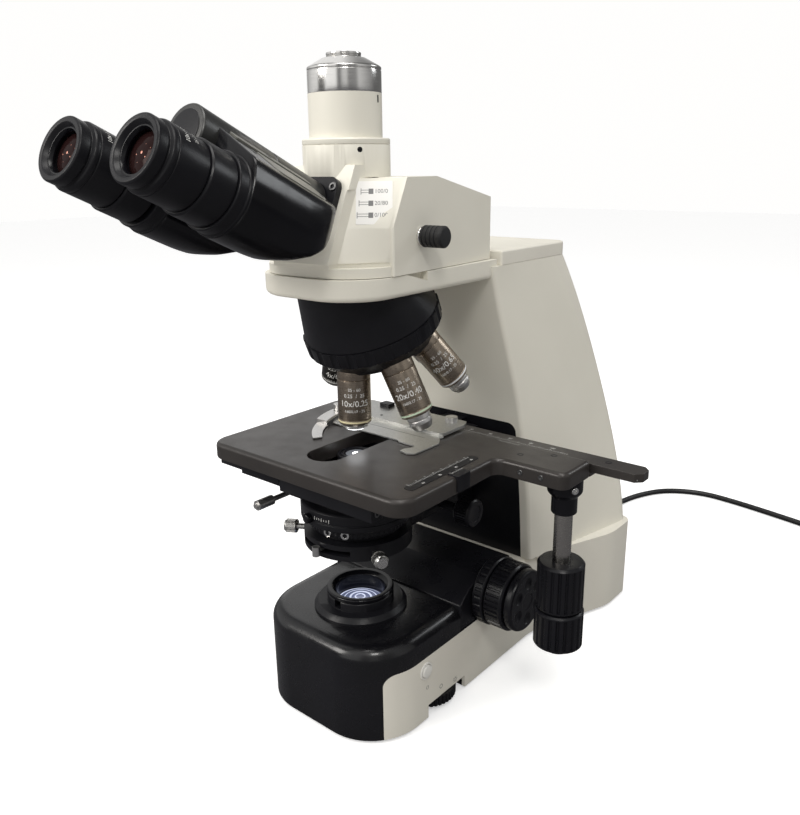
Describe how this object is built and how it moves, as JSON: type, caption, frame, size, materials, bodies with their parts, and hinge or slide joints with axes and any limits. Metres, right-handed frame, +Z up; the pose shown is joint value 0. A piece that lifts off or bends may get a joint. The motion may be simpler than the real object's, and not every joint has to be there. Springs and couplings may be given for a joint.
{
  "type": "trinocular microscope",
  "caption": "Upright compound microscope with an inclined binocular head, a photo port on top, a turret of objectives, a moving stage, a condenser and a lamp in the base.",
  "frame": {"origin": "point of the bench under the optical axis", "axes": "+X to the user's right, +Y from the user towards the arm, +Z up along the optical axis to the camera port"},
  "size_m": [0.454, 0.8408, 0.5314],
  "materials": {
    "cream_casting": "cream satin enamel on cast aluminium",
    "cream_shell": "cream satin moulded casing",
    "black_casting": "black satin enamel on aluminium",
    "black_plastic": "black satin moulded plastic",
    "black_gloss": "black glossy enamel on aluminium",
    "stage_enamel": "hard dark grey-brown satin coating",
    "chrome": "polished",
    "steel": "brushed",
    "silver_casting": "satin clear anodised",
    "barrel_bronze": "satin bronze-tinted plating",
    "glass": "coated lens glass",
    "rubber": "matt black"
  },
  "bodies": {
    "stand": {"base_housing": "cream_shell", "base_cover": "black_plastic", "base_plate": "black_casting", "rubber_feet": "rubber", "field_lens_collar": "black_casting", "field_lens": "glass", "led_lamp": "silver_casting", "column": "cream_casting", "rear_cover": "cream_shell", "carrier_guide": "black_casting", "limb": "cream_casting", "arm_cap": "cream_shell", "focus_housing": "black_plastic", "nosepiece_housing": "black_casting", "cord_connector": "black_plastic", "cord_run": "rubber", "cord_coil": "rubber", "mains_plug": "black_plastic"},
    "power_button": {"power_button": "black_plastic"},
    "side_button": {"side_button": "black_plastic"},
    "dimmer_wheel": {"dimmer_wheel": "black_plastic"},
    "nosepiece": {"nosepiece_turret": "black_casting", "objective_10x": "barrel_bronze", "objective_20x": "barrel_bronze", "objective_40x": "barrel_bronze", "objective_100x": "barrel_bronze", "objective_4x": "barrel_bronze"},
    "head": {"head_block": "cream_casting", "camera_collar": "cream_casting", "camera_adapter": "chrome", "hinge_bracket": "black_casting"},
    "selector": {"selector_rod": "black_casting"},
    "right_arm": {"binocular_arm_right": "black_gloss", "eyepiece_right": "black_gloss", "eye_lens_right": "glass"},
    "left_arm": {"binocular_arm_left": "black_gloss", "eyepiece_left": "black_gloss", "eye_lens_left": "glass"},
    "right_diopter": {"diopter_ring_right": "black_casting"},
    "left_diopter": {"diopter_ring_left": "black_casting"},
    "carrier": {"stage_carrier": "black_casting"},
    "coarse_drive": {"coarse_drive": "black_plastic"},
    "fine_drive": {"fine_drive": "black_plastic"},
    "clamp_ring": {"clamp_ring": "black_plastic"},
    "torque_ring": {"torque_ring": "black_plastic"},
    "stage": {"stage_plate": "stage_enamel"},
    "slider": {"slider_bar": "stage_enamel", "specimen_holder": "silver_casting", "holder_screws": "steel"},
    "finger": {"holder_finger": "silver_casting"},
    "y_drive": {"y_drive_knob": "black_plastic"},
    "x_drive": {"x_drive_knob": "black_plastic"},
    "condenser": {"condenser_arm": "black_casting", "condenser_body": "black_casting", "condenser_lens": "glass"},
    "condenser_knob": {"condenser_knob": "black_plastic"},
    "aperture_lever": {"aperture_lever": "steel"},
    "lens_lever": {"lens_lever": "steel"},
    "centring_right": {"centring_screw_right": "steel"},
    "centring_left": {"centring_screw_left": "steel"}
  },
  "joints": [
    {"name": "focus", "type": "slide", "parent": "stand", "child": "carrier", "axis": [0, 0, 1], "range_m": [-0.022, 0.002]},
    {"name": "coarse_turn", "type": "hinge", "parent": "stand", "child": "coarse_drive", "pos_m": [0, 0.0916, 0.087], "axis": [1, 0, 0], "range_deg": [-80, 850]},
    {"name": "fine_turn", "type": "hinge", "parent": "stand", "child": "fine_drive", "pos_m": [0, 0.0916, 0.087], "axis": [1, 0, 0], "continuous": true},
    {"name": "clamp_turn", "type": "hinge", "parent": "stand", "child": "clamp_ring", "pos_m": [0.08, 0.0916, 0.087], "axis": [1, 0, 0], "range_deg": [0, 60]},
    {"name": "torque_turn", "type": "hinge", "parent": "stand", "child": "torque_ring", "pos_m": [-0.08, 0.0916, 0.087], "axis": [1, 0, 0], "range_deg": [-30, 30]},
    {"name": "power_press", "type": "slide", "parent": "stand", "child": "power_button", "axis": [-1, 0, 0], "range_m": [0, 0.0015], "stiffness_N_per_m": 400},
    {"name": "side_press", "type": "slide", "parent": "stand", "child": "side_button", "axis": [1, 0, 0], "range_m": [0, 0.0015], "stiffness_N_per_m": 400},
    {"name": "dimmer_turn", "type": "hinge", "parent": "stand", "child": "dimmer_wheel", "pos_m": [0.052, 0.027, 0.01], "axis": [0, 0, 1], "range_deg": [-135, 135]},
    {"name": "nosepiece_turn", "type": "hinge", "parent": "stand", "child": "nosepiece", "pos_m": [0, 0.03219, 0.31234], "axis": [0, 0.3951, -0.9187], "continuous": true},
    {"name": "head_turn", "type": "hinge", "parent": "stand", "child": "head", "pos_m": [0, 0, 0.378], "axis": [0, 0, 1], "range_deg": [-8, 2]},
    {"name": "selector_pull", "type": "slide", "parent": "head", "child": "selector", "axis": [0.9986, 0.0523, 0], "range_m": [0, 0.024]},
    {"name": "right_arm_turn", "type": "hinge", "parent": "head", "child": "right_arm", "pos_m": [0.01009, -0.19252, 0.49763], "axis": [-0.0474, 0.9051, -0.4226], "range_deg": [-8, 10]},
    {"name": "left_arm_turn", "type": "hinge", "parent": "head", "child": "left_arm", "pos_m": [0.01009, -0.19252, 0.49763], "axis": [-0.0474, 0.9051, -0.4226], "range_deg": [-10, 8]},
    {"name": "right_diopter_turn", "type": "hinge", "parent": "right_arm", "child": "right_diopter", "pos_m": [0.04384, -0.20599, 0.465], "axis": [-0.0474, 0.9051, -0.4226], "range_deg": [-160, 160]},
    {"name": "left_diopter_turn", "type": "hinge", "parent": "left_arm", "child": "left_diopter", "pos_m": [-0.02207, -0.20944, 0.465], "axis": [-0.0474, 0.9051, -0.4226], "range_deg": [-160, 160]},
    {"name": "stage_y", "type": "slide", "parent": "carrier", "child": "stage", "axis": [0, 1, 0], "range_m": [-0.026, 0.0195]},
    {"name": "slide_x", "type": "slide", "parent": "stage", "child": "slider", "axis": [1, 0, 0], "range_m": [-0.038, 0.038]},
    {"name": "finger_turn", "type": "hinge", "parent": "slider", "child": "finger", "pos_m": [-0.064, 0.047, 0.238], "axis": [0, 0, 1], "range_deg": [-24, 0]},
    {"name": "y_drive_turn", "type": "hinge", "parent": "stage", "child": "y_drive", "pos_m": [0.156, 0.07, 0.19], "axis": [0, 0, 1], "range_deg": [-255, 217]},
    {"name": "x_drive_turn", "type": "hinge", "parent": "stage", "child": "x_drive", "pos_m": [0.156, 0.07, 0.19], "axis": [0, 0, 1], "range_deg": [-370, 370]},
    {"name": "condenser_height", "type": "slide", "parent": "carrier", "child": "condenser", "axis": [0, 0, 1], "range_m": [-0.014, 0]},
    {"name": "condenser_turn", "type": "hinge", "parent": "condenser", "child": "condenser_knob", "pos_m": [0, 0.088, 0.1565], "axis": [1, 0, 0], "range_deg": [-205, 5]},
    {"name": "aperture_turn", "type": "hinge", "parent": "condenser", "child": "aperture_lever", "pos_m": [0, 0, 0.1554], "axis": [0, 0, 1], "range_deg": [-22, 22]},
    {"name": "top_lens_turn", "type": "hinge", "parent": "condenser", "child": "lens_lever", "pos_m": [-0.039, -0.031, 0.1945], "axis": [0, -1, 0], "range_deg": [-45, 45]},
    {"name": "centring_right_turn", "type": "hinge", "parent": "condenser", "child": "centring_right", "pos_m": [0, 0, 0.1565], "axis": [0.8616, -0.5075, 0], "range_deg": [-180, 180]},
    {"name": "centring_left_turn", "type": "hinge", "parent": "condenser", "child": "centring_left", "pos_m": [0, 0, 0.1565], "axis": [-0.8616, -0.5075, 0], "range_deg": [-180, 180]}
  ],
  "couplings": [
    {"joint": "coarse_turn", "follows": "focus", "rad_per_m": -668.42},
    {"joint": "left_arm_turn", "follows": "right_arm_turn", "ratio": -1},
    {"joint": "y_drive_turn", "follows": "stage_y", "rad_per_m": 166.67},
    {"joint": "x_drive_turn", "follows": "slide_x", "rad_per_m": 166.67},
    {"joint": "condenser_turn", "follows": "condenser_height", "rad_per_m": 250}
  ]
}
